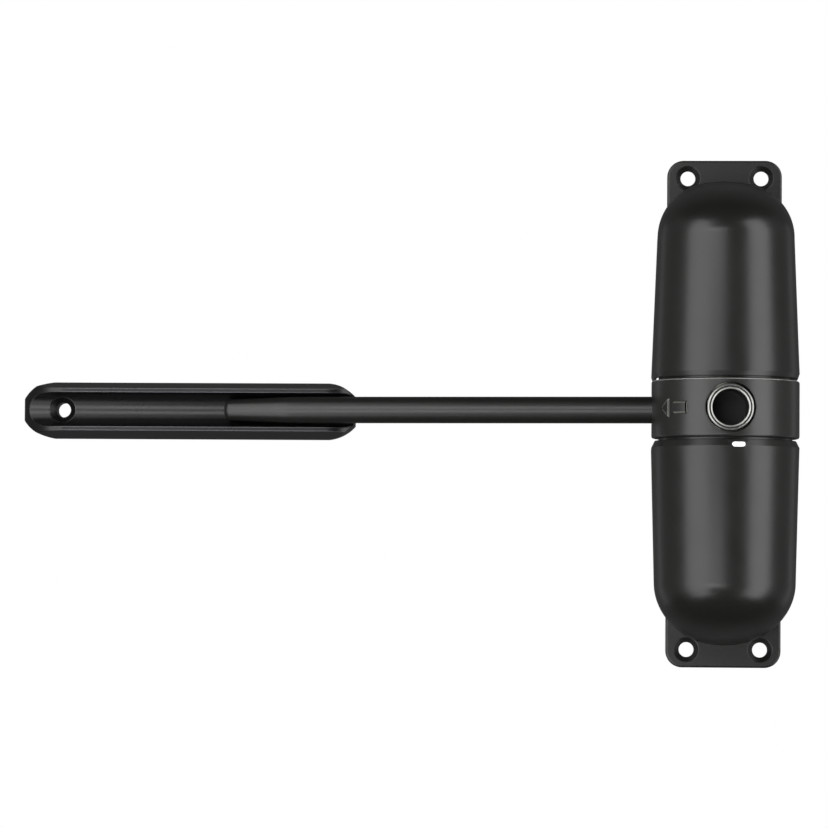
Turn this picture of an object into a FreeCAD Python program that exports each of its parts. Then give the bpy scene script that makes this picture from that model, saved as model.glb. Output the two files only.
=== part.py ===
import FreeCAD, Part
import math
import os

# Surface-mounted spring door closer: an upright body that holds two torsion springs and a turning
# drum, a round arm that leaves the drum sideways, and a grooved rail that the arm's tip slides in.
# Millimetres.  The origin is the centre of the body's screw pattern on the mounting plane y = 0,
# the part stands on the -y side of that plane, +Z is up along the drum's axle and the arm points to -X.

# ---- drum and its axle ----------------------------------------------------------------------------
drum_radius = 22.0
drum_height = 17.2
drum_wall = 4.0
drum_chamfer = 0.6
drum_to_plate = 0.5          # running gap between the drum and the mounting plate
collar_step = 2.1            # the drum's collars are this much smaller in radius than its ring
collar_overlap = 0.3         # how far a collar reaches into the shell past the gap
axle_radius = 4.0
axle_stub = 3.0              # how far the axle stands out of the upper bracket
axle_head_step = 1.6
axle_head_height = 2.2
bush_wall = 2.0
running_gap = 0.04           # radial gap of the bushes on the axle
loose_gap = 0.1              # gap between pieces that are slipped over or beside each other

# ---- mounting plate -------------------------------------------------------------------------------
plate_inset = 4.6            # the plate's edge lies this far inside the drum's radius
plate_end = 6.7              # how far the plate stands out past a dome
plate_thickness = 2.3
plate_corner = 5.0
plate_edge_round = 0.7
screw_side = 6.3             # from a screw's centre to the plate's long edge
screw_edge = 5.4             # from a screw's centre to the plate's short edge
screw_hole_radius = 2.25
screw_head_radius = 3.75

# ---- shells ---------------------------------------------------------------------------------------
shell_wall = 1.5
shell_gap = 0.7              # gap between the drum and each shell
shell_straight = 42.0        # height of a shell below its dome
shell_to_wall = 0.2
dome_rise = 19.0
upper_taper = 1.6            # loss of half width from the rim to the dome
lower_taper = 1.0
upper_bevel_depth = 0.5      # the shells' rims are bevelled towards the drum
upper_bevel_height = 1.5
lower_bevel_depth = 1.0
lower_bevel_height = 2.0
boss_radius = 3.0
boss_height = 9.0
boss_inset = 3.4             # from a boss's centre to the plate's long edge
boss_rise = 20.7             # from the shell's rim to a boss's centre
boss_rib = 2.0
shell_screw_radius = 1.5
shell_screw_head = 2.8
shell_screw_grip = 6.7       # length of a screw inside its boss

# ---- end brackets ---------------------------------------------------------------------------------
bracket_thickness = 2.5
bracket_wall = 4.0           # around the axle's hole
bracket_rise = 0.7           # of the ear's inner face above the foot of the dome
bracket_foot = 14.0
rivet_radius = 1.9
rivet_head_radius = 3.2
rivet_head_height = 1.2
rivet_spacing = 8.0

# ---- spacers, washers and springs -----------------------------------------------------------------
spacer_wall = 2.2
washer_inset = 0.7           # gap between a washer's edge and the spring's tang
washer_thickness = 0.9
clip_thickness = 0.9
clip_wall = 2.5
clip_groove = 0.8
clip_opening = 5.0
spring_wire = 1.3            # radius of the wire
spring_room = 3.0            # between the spacer tube and the coil
spring_turns = 10
spring_hub_gap = 2.9         # from the index disc's lower face to the coil's first turn
spring_ear_gap = 3.5         # from the coil's last turn to the bracket
spring_hub_angle = 9.0       # where the tang enters the drum, from +X
tang_depth = 2.4

# ---- tension sockets and the index disc -----------------------------------------------------------
socket_bore = 5.4
socket_wall = 1.4
socket_floor_wall = 2.6      # metal between a socket's floor and the bush
socket_recess = 0.8          # a sleeve's outer face lies this far inside the drum's radius
socket_hole_gap = 0.6        # the ring's hole is this much wider than the sleeve, all round
socket_angle = 98.0          # from the arm to the sockets, one for each hand of door
index_rim = 1.2              # metal of the disc outside the spring's tang
index_thickness = 3.0
index_notch_depth = 3.7
index_notches = 6
index_notch_gap = 0.2        # beside the pin in a notch
index_bore_gap = 0.4         # between the disc's bore and the axle

# ---- stop pin -------------------------------------------------------------------------------------
pin_width = 3.8
pin_thickness = 1.4
pin_drop = 1.6               # from the lower shell's rim to the pin's middle
pin_angle = -81.0            # its radial line, from +X
pin_to_disc = 0.4            # between the parked pin and the index disc
pin_proud = 0.3              # how far the pin's end stands out of the shell
pin_gap = 0.1
pin_guide_wall = 1.0
pin_guide_to_disc = 2.5      # between the guide and the index disc
pin_guide_drop = 0.5         # the guide's top lies this far below the shell's rim

# ---- raised arrow on the drum, in degrees from the drum's front towards the arm -------------------
arrow_tip = 59.7
arrow_head_back = 50.2
arrow_stem_front = 45.4
arrow_stem_back = 31.4
arrow_half_head = 2.9
arrow_half_stem = 1.7
arrow_relief = 0.6

# ---- arm ------------------------------------------------------------------------------------------
arm_radius = 4.0
arm_root_radius = 3.5
arm_root_inset = 2.0         # the thicker shank begins this far inside the hub
arm_hole_gap = 1.0           # the ring's hole is this much wider than the arm, all round
arm_length = 151.6           # from the axle's centre line to the tip
arm_taper = 20.0
arm_tip_radius = 3.2
arm_tip_round = 2.0
arm_tip_gap = 0.4            # gap between the tip and the floor of the rail's groove
arm_overlap = 39.6           # length of the arm inside the rail

# ---- rail -----------------------------------------------------------------------------------------
rail_length = 101.0
rail_groove_gap = 1.2        # between the arm and the groove's walls
rail_ridge = 1.2
rail_flank = 2.2             # width of a sloping flank
rail_foot = 2.5
rail_floor = 7.6             # height of the groove's floor above the mounting plane
rail_wall_height = 5.4       # of the walls above the floor
rail_nose = 12.5
rail_nose_tip = 3.3
rail_nose_bulge = (0.27, 0.76)    # shares of the nose's length and half width that its arc passes
rail_nose_rise = (0.4, 0.62)      # the same for the arc that lifts the walls off the floor
rail_nose_drop = 2.0              # the nose's end lies this far below the floor
rail_mouth = 10.5
rail_mouth_tip = 4.5
rail_mouth_bulge = (0.33, 0.84)
rail_mouth_dip = (0.4, 0.65)
rail_mouth_slope = 8.0
rail_mouth_rise = 2.0             # height of the walls above the floor at the mouth
rail_first_screw = 12.0      # from the nose's end to the first screw
rail_second_screw = 16.4     # from the mouth's end to the second screw
rail_screw_head = 3.9
rail_shell = 2.0             # wall left around the pocket in the rail's back

# ---- worked-out sizes and places ------------------------------------------------------------------
drum_half = drum_height / 2
hub_radius = drum_radius - drum_wall
bush_radius = axle_radius + bush_wall
axis_y = -(plate_thickness + drum_to_plate + drum_radius)
axle_point = FreeCAD.Vector(0, axis_y, 0)
plate_front = -plate_thickness
plate_width = 2 * (drum_radius - plate_inset)
rim_z = drum_half + shell_gap
dome_z = rim_z + shell_straight
plate_height = 2 * (dome_z + dome_rise + plate_end)
screw_spacing_x = plate_width - 2 * screw_side
screw_spacing_z = plate_height - 2 * screw_edge
upper_dome_half_width = drum_radius - upper_taper
lower_dome_half_width = drum_radius - lower_taper
boss_x = plate_width / 2 - boss_inset
boss_z = rim_z + boss_rise
shell_screw_length = plate_thickness + shell_screw_grip
bracket_ear_z = dome_z + bracket_rise
bracket_width = 2 * (axle_radius + bracket_wall)
axle_end = bracket_ear_z + bracket_thickness + axle_stub
spring_radius = axle_radius + spacer_wall + spring_room + spring_wire
index_radius = spring_radius + spring_wire + index_rim
index_bottom = drum_half + index_thickness
spring_start = index_bottom + spring_hub_gap
spring_end = bracket_ear_z - spring_ear_gap
washer_radius = spring_radius - spring_wire - washer_inset
socket_radius = socket_bore + socket_wall
socket_floor = bush_radius + socket_floor_wall
socket_face = drum_radius - socket_recess
pin_height = -(rim_z + pin_drop)
pin_inner = index_radius + pin_to_disc
pin_outer = drum_radius + pin_proud
arm_root_end = hub_radius - arm_root_inset
tip_y = -(rail_floor + arm_tip_gap + arm_tip_radius)
arm_tilt = math.degrees(math.asin((tip_y - axis_y) / arm_length))
arm_angle = 180.0 - arm_tilt
rail_groove_radius = arm_radius + rail_groove_gap
rail_width = 2 * (rail_groove_radius + rail_ridge + rail_flank)
rail_height = rail_floor + rail_wall_height
rail_nose_floor = rail_floor - rail_nose_drop
rail_mouth_floor = rail_floor + rail_mouth_rise
rail_right = -(arm_length - arm_overlap)
rail_left = rail_right - rail_length
tool_margin = 1.0            # how far a cutting tool reaches past what it cuts
quarter_weight = math.sqrt(0.5)   # middle weight, and sine and cosine, of a quarter circle
crown_share = 0.97           # a dome's patches stop here, before they would shrink to a point
tang_bend = 1.02             # radius of a spring's bend, as a share of the wire's
UP = FreeCAD.Vector(0, 0, 1)
TO_WALL = FreeCAD.Vector(0, 1, 0)
FROM_WALL = FreeCAD.Vector(0, -1, 0)


def box(x, y, z):
    """A block between pairs of x, y and z values."""
    corner = FreeCAD.Vector(min(x), min(y), min(z))
    size = [abs(pair[1] - pair[0]) for pair in (x, y, z)]
    return Part.makeBox(size[0], size[1], size[2], corner)


def ring(outer, inner, low, high):
    """A tube about the drum's axis between two heights."""
    foot = FreeCAD.Vector(0, axis_y, low)
    tube = Part.makeCylinder(outer, high - low, foot, UP)
    return tube.cut(Part.makeCylinder(inner, high - low + 2 * tool_margin, foot - UP * tool_margin, UP))


def radial(angle):
    """The level direction at this angle from +X."""
    return FreeCAD.Vector(math.cos(math.radians(angle)), math.sin(math.radians(angle)), 0)


def spoke(angle, radius, start, end, height=0.0):
    """A round bar that points away from the axle, between two distances from it."""
    foot = axle_point + radial(angle) * start + UP * height
    return Part.makeCylinder(radius, end - start, foot, radial(angle))


def prism(points, direction):
    """A solid with straight-sided outline, pushed along a direction."""
    return Part.Face(Part.makePolygon(points + points[:1])).extrude(direction)


def mirrored(shape):
    """The same piece for the lower half of the body."""
    return shape.mirror(FreeCAD.Vector(0, 0, 0), UP)


def countersink(x, z, face_y, hole_radius, head_radius):
    """Tool for a screw hole that runs to the mounting plane from a face on the -y side."""
    depth = head_radius - hole_radius
    start = FreeCAD.Vector(x, face_y - tool_margin, z)
    hole = Part.makeCylinder(hole_radius, -face_y + 2 * tool_margin, start, TO_WALL)
    head = Part.makeCone(head_radius, hole_radius, depth, FreeCAD.Vector(x, face_y, z), TO_WALL)
    clear = Part.makeCylinder(head_radius, rail_height, FreeCAD.Vector(x, face_y, z), FROM_WALL)
    return hole.fuse([head, clear])


def rivet_places():
    """Where the bracket's rivets stand, as x and z."""
    middle = bracket_ear_z - bracket_foot / 2 + bracket_thickness
    return [(side * rivet_spacing / 2, middle) for side in (-1, 1)]


# ---- body ---------------------------------------------------------------------------------------
def back_plate():
    """Flat steel plate with rounded corners; its ends stand out past the shells and take the screws."""
    plate = box((-plate_width / 2, plate_width / 2), (plate_front, 0), (-plate_height / 2, plate_height / 2))
    corners = [e for e in plate.Edges if abs(e.tangentAt(e.FirstParameter).y) > 0.9]
    plate = plate.makeFillet(plate_corner, corners)
    front = [e for e in plate.Edges if e.BoundBox.YMax < plate_front + plate_thickness / 4]
    plate = plate.makeFillet(plate_edge_round, front)
    for x in (-screw_spacing_x / 2, screw_spacing_x / 2):
        for z in (-screw_spacing_z / 2, screw_spacing_z / 2):
            plate = plate.cut(countersink(x, z, plate_front, screw_hole_radius, screw_head_radius))
    holes = [shell_screw_shape(x, z) for x, z in boss_places()]
    for x, z in rivet_places():
        holes += [rivet(x, z), mirrored(rivet(x, z))]
    return plate.cut(holes)


def boss_places():
    """The four places where a shell is screwed to the plate, as x and z."""
    return [(x, z) for x in (-boss_x, boss_x) for z in (-boss_z, boss_z)]


def shell_screw_shape(x, z):
    """Countersunk screw that comes from behind the plate into a boss of a shell."""
    depth = shell_screw_head - shell_screw_radius
    head = Part.makeCone(shell_screw_head, shell_screw_radius, depth, FreeCAD.Vector(x, 0, z), FROM_WALL)
    shank = Part.makeCylinder(shell_screw_radius, shell_screw_length, FreeCAD.Vector(x, 0, z), FROM_WALL)
    return head.fuse(shank)


def rivet(x, z):
    """Rivet through the plate and a bracket's foot, flush behind and with a flat head in front."""
    seat = plate_front - bracket_thickness
    sink = rivet_head_radius - rivet_radius
    shank = Part.makeCylinder(rivet_radius, -seat, FreeCAD.Vector(x, 0, z), FROM_WALL)
    back = Part.makeCone(rivet_head_radius, rivet_radius, sink, FreeCAD.Vector(x, 0, z), FROM_WALL)
    head = Part.makeCylinder(rivet_head_radius, rivet_head_height, FreeCAD.Vector(x, seat, z), FROM_WALL)
    return shank.fuse([back, head])


def bracket():
    """Angle riveted to the plate, whose ear holds the upper end of the axle and the spring's tang."""
    half = bracket_width / 2
    top = bracket_ear_z + bracket_thickness
    front = plate_front - bracket_thickness
    foot = box((-half, half), (plate_front, front), (top - bracket_foot, top))
    ear = box((-half, half), (plate_front, axis_y), (bracket_ear_z, top))
    nose = Part.makeCylinder(half, bracket_thickness, FreeCAD.Vector(0, axis_y, bracket_ear_z), UP)
    angle = foot.fuse([ear, nose])
    bore = Part.makeCylinder(axle_radius + loose_gap / 2, 3 * bracket_thickness,
                             FreeCAD.Vector(0, axis_y, bracket_ear_z - bracket_thickness), UP)
    tang = Part.makeCylinder(spring_wire + loose_gap, 3 * bracket_thickness,
                             FreeCAD.Vector(0, axis_y + spring_radius, bracket_ear_z - bracket_thickness), UP)
    holes = [bore, tang] + [rivet(x, z) for x, z in rivet_places()]
    return angle.cut(holes)


def axle():
    """Fixed steel pin through both brackets, headed below and grooved for a clip above."""
    head_top = -(bracket_ear_z + bracket_thickness)
    pin = Part.makeCylinder(axle_radius, axle_end - head_top, FreeCAD.Vector(0, axis_y, head_top), UP)
    head = Part.makeCylinder(axle_radius + axle_head_step, axle_head_height,
                             FreeCAD.Vector(0, axis_y, head_top - axle_head_height), UP)
    return pin.fuse(head).removeSplitter().cut(clip_groove_tool())


def clip_low():
    """Height of the clip's lower face, just above the upper bracket."""
    return bracket_ear_z + bracket_thickness + loose_gap


def clip_groove_tool():
    """The groove that the clip sits in."""
    return ring(axle_radius + tool_margin, axle_radius - clip_groove, clip_low(), clip_low() + clip_thickness)


def axle_clip():
    """Open spring-steel clip that keeps the axle in its brackets."""
    clip = ring(axle_radius + clip_wall, axle_radius - clip_groove, clip_low(), clip_low() + clip_thickness)
    reach = axle_radius + clip_wall + tool_margin
    opening = box((-clip_opening / 2, clip_opening / 2), (axis_y, axis_y - reach),
                  (clip_low() - tool_margin, clip_low() + clip_thickness + tool_margin))
    return clip.cut(opening)


# ---- shells ---------------------------------------------------------------------------------------
def d_wire(half_width, z):
    """Outline of a shell at one height: flat sides that run to the wall and a half-round front."""
    right = FreeCAD.Vector(half_width, axis_y, z)
    front = FreeCAD.Vector(0, axis_y - half_width, z)
    left = FreeCAD.Vector(-half_width, axis_y, z)
    back_right = FreeCAD.Vector(half_width, 0, z)
    back_left = FreeCAD.Vector(-half_width, 0, z)
    edges = [Part.makeLine(back_right, right), Part.Arc(right, front, left).toShape(),
             Part.makeLine(left, back_left), Part.makeLine(back_left, back_right)]
    return Part.Wire(edges)


def dome_patch(outline, weights, z, rise):
    """One patch of a dome: a stretch of the outline that shrinks towards the wall along an ellipse."""
    climb = [(1, 0, 1), (1, 1, quarter_weight), (0, 1, 1)]
    poles = [[FreeCAD.Vector(x * share, y * share, z + up * rise) for share, up, _ in climb] for x, y in outline]
    heft = [[across * along for _, _, along in climb] for across in weights]
    patch = Part.BSplineSurface()
    patch.buildFromPolesMultsKnots(poles, [3, 3], [3, 3], [0, 1], [0, 1], False, False, 2, 2, heft)
    patch.segment(0, 1, 0, crown_share)
    return patch.toShape()


def dome(half_width, z, rise):
    """Closed dome on a shell's outline; the sliver missing at its crown lies inside the plate."""
    a, y, front = half_width, axis_y, axis_y - half_width
    corner = [1, quarter_weight, 1]
    patches = [
        dome_patch([(a, 0), (a, y / 2), (a, y)], [1, 1, 1], z, rise),
        dome_patch([(a, y), (a, front), (0, front)], corner, z, rise),
        dome_patch([(0, front), (-a, front), (-a, y)], corner, z, rise),
        dome_patch([(-a, y), (-a, y / 2), (-a, 0)], [1, 1, 1], z, rise),
    ]
    skin = Part.makeShell(patches)
    skin.sewShape()
    rims = [Part.Wire(Part.__sortEdges__(w)) for w in open_edges(skin)]
    caps = [Part.Face(rim) for rim in rims]
    return solid_of(patches + caps)


def open_edges(skin):
    """Edge loops on the dome's flat sides: its foot, its crown and its back."""
    free = [e for e in skin.Edges if len(skin.ancestorsOfType(e, Part.Face)) == 1]
    foot = [e for e in free if e.BoundBox.ZLength < 1e-6 and abs(e.BoundBox.ZMin - skin.BoundBox.ZMin) < 1e-6]
    crown = [e for e in free if e.BoundBox.ZLength < 1e-6 and abs(e.BoundBox.ZMin - skin.BoundBox.ZMax) < 1e-6]
    back = [e for e in free if e.BoundBox.YLength < 1e-6 and e.BoundBox.ZLength > 1e-6]
    ends = [[v.Point for v in sorted(loop_ends(loop), key=lambda v: v.Point.x)] for loop in (foot, crown)]
    lines = [Part.makeLine(pair[0], pair[1]) for pair in ends]
    return [foot + lines[:1], crown + lines[1:], back + lines]


def loop_ends(edges):
    """The two corners of an open loop that lie on the mounting plane."""
    return [v for e in edges for v in e.Vertexes if abs(v.Point.y) < 1e-6]


def solid_of(faces):
    """A solid from faces that close a volume."""
    skin = Part.makeShell(faces)
    skin.sewShape()
    body = Part.Solid(skin)
    if body.Volume < 0:
        body.reverse()
    return body


def shell_blank(stations, dome_half_width, rise):
    """Solid of a shell's outside or inside: straight stretch through the stations, then the dome."""
    wires = [d_wire(half_width, z) for half_width, z in stations] + [d_wire(dome_half_width, dome_z)]
    straight = Part.makeLoft(wires, True, True)
    return straight, dome(dome_half_width, dome_z, rise)


def shell(dome_half_width, bevel_depth, bevel_height):
    """Upper shell: a thin pressed cover with bosses on the inside, open to the plate and the drum."""
    outside = shell_blank([(drum_radius - bevel_depth, rim_z),
                           (drum_radius, rim_z + bevel_height)], dome_half_width, dome_rise)
    inside = shell_blank([(drum_radius - shell_wall, rim_z)],
                         dome_half_width - shell_wall, dome_rise - shell_wall)
    walls = outside[0].cut(inside[0]).fuse(outside[1].cut(inside[1]))
    for side in (-1, 1):
        walls = walls.fuse(boss(side).common(outside[0]))
    plate_room = box((-plate_width / 2 - loose_gap, plate_width / 2 + loose_gap),
                     (plate_front - loose_gap / 2, tool_margin), (-plate_height, plate_height))
    wall_room = box((-plate_width, plate_width), (-shell_to_wall, tool_margin), (-plate_height, plate_height))
    holes = [shell_screw_shape(side * boss_x, boss_z) for side in (-1, 1)]
    return walls.cut([plate_room, wall_room] + holes)


def boss(side):
    """Screw boss beside the spring, tied to the shell's side wall by a rib."""
    seat = plate_front - loose_gap / 2
    post = Part.makeCylinder(boss_radius, boss_height, FreeCAD.Vector(side * boss_x, seat, boss_z), FROM_WALL)
    rib = box((side * boss_x, side * drum_radius), (seat, seat - boss_height),
              (boss_z - boss_rib / 2, boss_z + boss_rib / 2))
    return post.fuse(rib)


def pin_bar(start, end, gap):
    """Flat bar with round edges on the stop pin's radial line."""
    thick = pin_thickness + 2 * gap
    half = pin_width / 2 + gap - thick / 2
    across = radial(pin_angle + 90)
    foot = axle_point + radial(pin_angle) * start + UP * pin_height
    bar = Part.makeBox(2 * half, thick, end - start)
    bar.translate(FreeCAD.Vector(-half, -thick / 2, 0))
    edges = [Part.makeCylinder(thick / 2, end - start, FreeCAD.Vector(x, 0, 0), UP) for x in (-half, half)]
    bar = bar.fuse(edges).removeSplitter()
    turn = FreeCAD.Matrix(across.x, UP.x, radial(pin_angle).x, foot.x,
                          across.y, UP.y, radial(pin_angle).y, foot.y,
                          across.z, UP.z, radial(pin_angle).z, foot.z, 0, 0, 0, 1)
    return bar.transformed(turn)


def pin_guide():
    """Block behind the lower shell's rim that guides the stop pin."""
    inner = index_radius + pin_guide_to_disc
    half = pin_width / 2 + pin_guide_wall
    low = pin_height - pin_thickness / 2 - pin_guide_wall
    block = box((inner, drum_radius - shell_wall / 2), (-half, half), (low, -rim_z - pin_guide_drop))
    block.rotate(FreeCAD.Vector(0, 0, 0), UP, pin_angle)
    block.translate(axle_point)
    return block


def lower_shell():
    """Lower shell: as the upper one, with the stop pin's window and guide under the drum."""
    cover = mirrored(shell(lower_dome_half_width, lower_bevel_depth, lower_bevel_height))
    window = pin_bar(index_radius, drum_radius + tool_margin, pin_gap)
    return cover.fuse(pin_guide()).cut(window)


# ---- drum -----------------------------------------------------------------------------------------
def arrow():
    """Raised arrow on the drum beside the socket: the way the springs drive the arm."""
    middle = (arrow_tip + arrow_stem_back) / 2
    normal = radial(-90 - middle)
    along = radial(180 - middle)

    def place(angle, height):
        return axle_point + along * drum_radius * math.sin(math.radians(angle - middle)) + UP * height

    outward = normal * drum_radius * 2
    head = prism([place(arrow_tip, 0), place(arrow_head_back, arrow_half_head),
                  place(arrow_head_back, -arrow_half_head)], outward)
    stem = prism([place(arrow_stem_front, arrow_half_stem), place(arrow_stem_back, arrow_half_stem),
                  place(arrow_stem_back, -arrow_half_stem), place(arrow_stem_front, -arrow_half_stem)], outward)
    skin = ring(drum_radius + arrow_relief, drum_radius - arrow_relief,
                -arrow_half_head - tool_margin, arrow_half_head + tool_margin)
    return head.fuse(stem).common(skin)


def socket_angles():
    """Directions of the two tension sockets."""
    return [arm_angle + socket_angle, arm_angle - socket_angle]


def drum_ring():
    """Outer ring of the drum: holes for the arm and the sockets, a raised arrow, and collars that close
    the gaps to the shells."""
    tube = ring(drum_radius, hub_radius, -drum_half, drum_half)
    rims = [e for e in tube.Edges if abs(e.BoundBox.XLength - 2 * drum_radius) < 1e-3]
    collar_top = rim_z + collar_overlap
    collars = ring(drum_radius - collar_step, hub_radius, -collar_top, collar_top)
    tube = tube.makeChamfer(drum_chamfer, rims).fuse([collars, arrow()])
    reach = drum_radius + tool_margin
    holes = [spoke(angle, socket_radius + socket_hole_gap, axle_radius, reach) for angle in socket_angles()]
    holes.append(spoke(arm_angle, arm_radius + arm_hole_gap, axle_radius, reach))
    return tube.cut(holes)


def hub():
    """Steel core of the drum: bored for the bushes, the sockets, the arm and the springs' tangs."""
    core = ring(hub_radius, bush_radius, -drum_half, drum_half)
    holes = [spoke(angle, socket_radius, socket_floor, drum_radius) for angle in socket_angles()]
    holes.append(spoke(arm_angle, arm_root_radius, socket_floor, drum_radius))
    holes.append(spoke(arm_angle, arm_radius, arm_root_end, drum_radius))
    return core.cut(holes + tang_holes())


def tang_holes():
    """Holes in the drum's two end faces for the springs' inner tangs."""
    place = axle_point + radial(spring_hub_angle) * spring_radius
    depth = index_thickness + tang_depth + loose_gap
    upper = Part.makeCylinder(spring_wire + loose_gap, drum_height,
                              place + UP * (drum_half - tang_depth - loose_gap), UP)
    lower = Part.makeCylinder(spring_wire + loose_gap, drum_height,
                              place - UP * (index_bottom - depth), UP * -1)
    return [upper, lower]


def tension_sockets():
    """Two bright sleeves that line the sockets for the tension bar."""
    sleeves = []
    for angle in socket_angles():
        outer = spoke(angle, socket_radius, socket_floor, socket_face)
        bore = spoke(angle, socket_bore, socket_floor - tool_margin, socket_face + tool_margin)
        sleeves.append(outer.cut(bore))
    return Part.makeCompound(sleeves)


def index_disc():
    """Notched disc under the drum that the stop pin is pushed into when the springs are wound."""
    disc = ring(index_radius, axle_radius + index_bore_gap, -index_bottom, -drum_half)
    half = pin_width / 2 + index_notch_gap
    notch = box((index_radius - index_notch_depth, index_radius + tool_margin), (-half, half),
                (-index_bottom - tool_margin, -drum_half + tool_margin))
    notches = []
    for step in range(index_notches):
        tool = notch.copy()
        tool.rotate(FreeCAD.Vector(0, 0, 0), UP, pin_angle + step * 360 / index_notches)
        tool.translate(axle_point)
        notches.append(tool)
    return disc.cut(notches + tang_holes())


def arm():
    """Round steel arm, thinner where it is screwed into the hub and tapered to a rounded tip."""
    taper_start = arm_length - arm_taper
    round_start = arm_length - arm_tip_round
    tip_flat = arm_tip_radius - arm_tip_round
    start = [FreeCAD.Vector(socket_floor + loose_gap, r, 0) for r in (0, arm_root_radius)]
    step = [FreeCAD.Vector(arm_root_end, r, 0) for r in (arm_root_radius, arm_radius)]
    corner = FreeCAD.Vector(taper_start, arm_radius, 0)
    end = FreeCAD.Vector(round_start, arm_tip_radius, 0)
    bend = arm_tip_round * quarter_weight
    knuckle = FreeCAD.Vector(round_start + bend, tip_flat + bend, 0)
    nose = [FreeCAD.Vector(arm_length, r, 0) for r in (tip_flat, 0)]
    outline = [Part.makeLine(start[0], start[1]), Part.makeLine(start[1], step[0]),
               Part.makeLine(step[0], step[1]), Part.makeLine(step[1], corner),
               Part.makeLine(corner, end), Part.Arc(end, knuckle, nose[0]).toShape(),
               Part.makeLine(nose[0], nose[1]), Part.makeLine(nose[1], start[0])]
    bar = Part.Face(Part.Wire(outline)).revolve(FreeCAD.Vector(0, 0, 0), FreeCAD.Vector(1, 0, 0), 360)
    bar.rotate(FreeCAD.Vector(0, 0, 0), UP, arm_angle)
    bar.translate(axle_point)
    return bar


# ---- springs and what stands on the axle ----------------------------------------------------------
def spring():
    """Upper torsion spring: a coil with a tang into the drum below and one into the bracket above."""
    turns = spring_turns + (90 - spring_hub_angle) / 360
    pitch = (spring_end - spring_start) / turns
    slope = math.atan(pitch / (2 * math.pi * spring_radius))
    heading = FreeCAD.Vector(0, math.cos(slope), math.sin(slope))
    section = Part.Wire(Part.makeCircle(spring_wire, FreeCAD.Vector(spring_radius, 0, 0), heading))
    helix = Part.makeHelix(pitch, spring_end - spring_start, spring_radius)
    coil = Part.Wire(helix).makePipeShell([section], True, True)
    coil.rotate(FreeCAD.Vector(0, 0, 0), UP, spring_hub_angle)
    coil.translate(FreeCAD.Vector(0, axis_y, spring_start))
    inner = axle_point + radial(spring_hub_angle) * spring_radius + UP * spring_start
    outer = axle_point + TO_WALL * spring_radius + UP * spring_end
    down = spring_start - drum_half + tang_depth
    up = bracket_ear_z + bracket_thickness - spring_end
    knuckle = spring_wire * tang_bend
    return coil.fuse([Part.makeSphere(knuckle, inner), Part.makeCylinder(spring_wire, down, inner, UP * -1),
                      Part.makeSphere(knuckle, outer), Part.makeCylinder(spring_wire, up, outer, UP)])


def bush(low, high):
    """Brass bush pressed into the hub, running on the axle."""
    return ring(bush_radius, axle_radius + running_gap, low, high)


def washer(low):
    """Plain thrust washer between the drum and a spacer tube."""
    return ring(washer_radius, axle_radius + loose_gap, low, low + washer_thickness)


def spacer(drum_face):
    """Tube on the axle, inside the spring, that keeps the drum at its height."""
    foot = drum_face + washer_thickness + 2 * loose_gap
    return ring(axle_radius + spacer_wall, axle_radius + loose_gap, foot, bracket_ear_z - loose_gap)


# ---- rail -----------------------------------------------------------------------------------------
def rail_outline():
    """Plan of the rail: rounded nose at the far end, mouth drawn in around the arm at the near end."""
    left, right = rail_left, rail_right
    half = rail_width / 2

    def nose_arc(side):
        bulge = FreeCAD.Vector(left + rail_nose * rail_nose_bulge[0], 0, side * half * rail_nose_bulge[1])
        return Part.Arc(FreeCAD.Vector(left, 0, side * rail_nose_tip), bulge,
                        FreeCAD.Vector(left + rail_nose, 0, side * half)).toShape()

    def mouth_arc(side):
        bulge = FreeCAD.Vector(right - rail_mouth * rail_mouth_bulge[0], 0, side * half * rail_mouth_bulge[1])
        return Part.Arc(FreeCAD.Vector(right - rail_mouth, 0, side * half), bulge,
                        FreeCAD.Vector(right, 0, side * rail_mouth_tip)).toShape()

    def line(x0, z0, x1, z1):
        return Part.makeLine(FreeCAD.Vector(x0, 0, z0), FreeCAD.Vector(x1, 0, z1))

    edges = [line(left, -rail_nose_tip, left, rail_nose_tip), nose_arc(1),
             line(left + rail_nose, half, right - rail_mouth, half), mouth_arc(1),
             line(right, rail_mouth_tip, right, -rail_mouth_tip), mouth_arc(-1),
             line(right - rail_mouth, -half, left + rail_nose, -half), nose_arc(-1)]
    return Part.Face(Part.Wire(Part.__sortEdges__(edges))).extrude(FROM_WALL * rail_height)


def rail_section():
    """Cross-section along the whole rail: sloping flanks up to two narrow ridges."""
    left = rail_left
    half = rail_width / 2
    ridge = rail_groove_radius + rail_ridge
    outline = [(0, -half), (-rail_foot, -half), (-rail_height, -ridge),
               (-rail_height, ridge), (-rail_foot, half), (0, half)]
    points = [FreeCAD.Vector(left, y, z) for y, z in outline]
    return prism(points, FreeCAD.Vector(rail_length, 0, 0))


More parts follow.
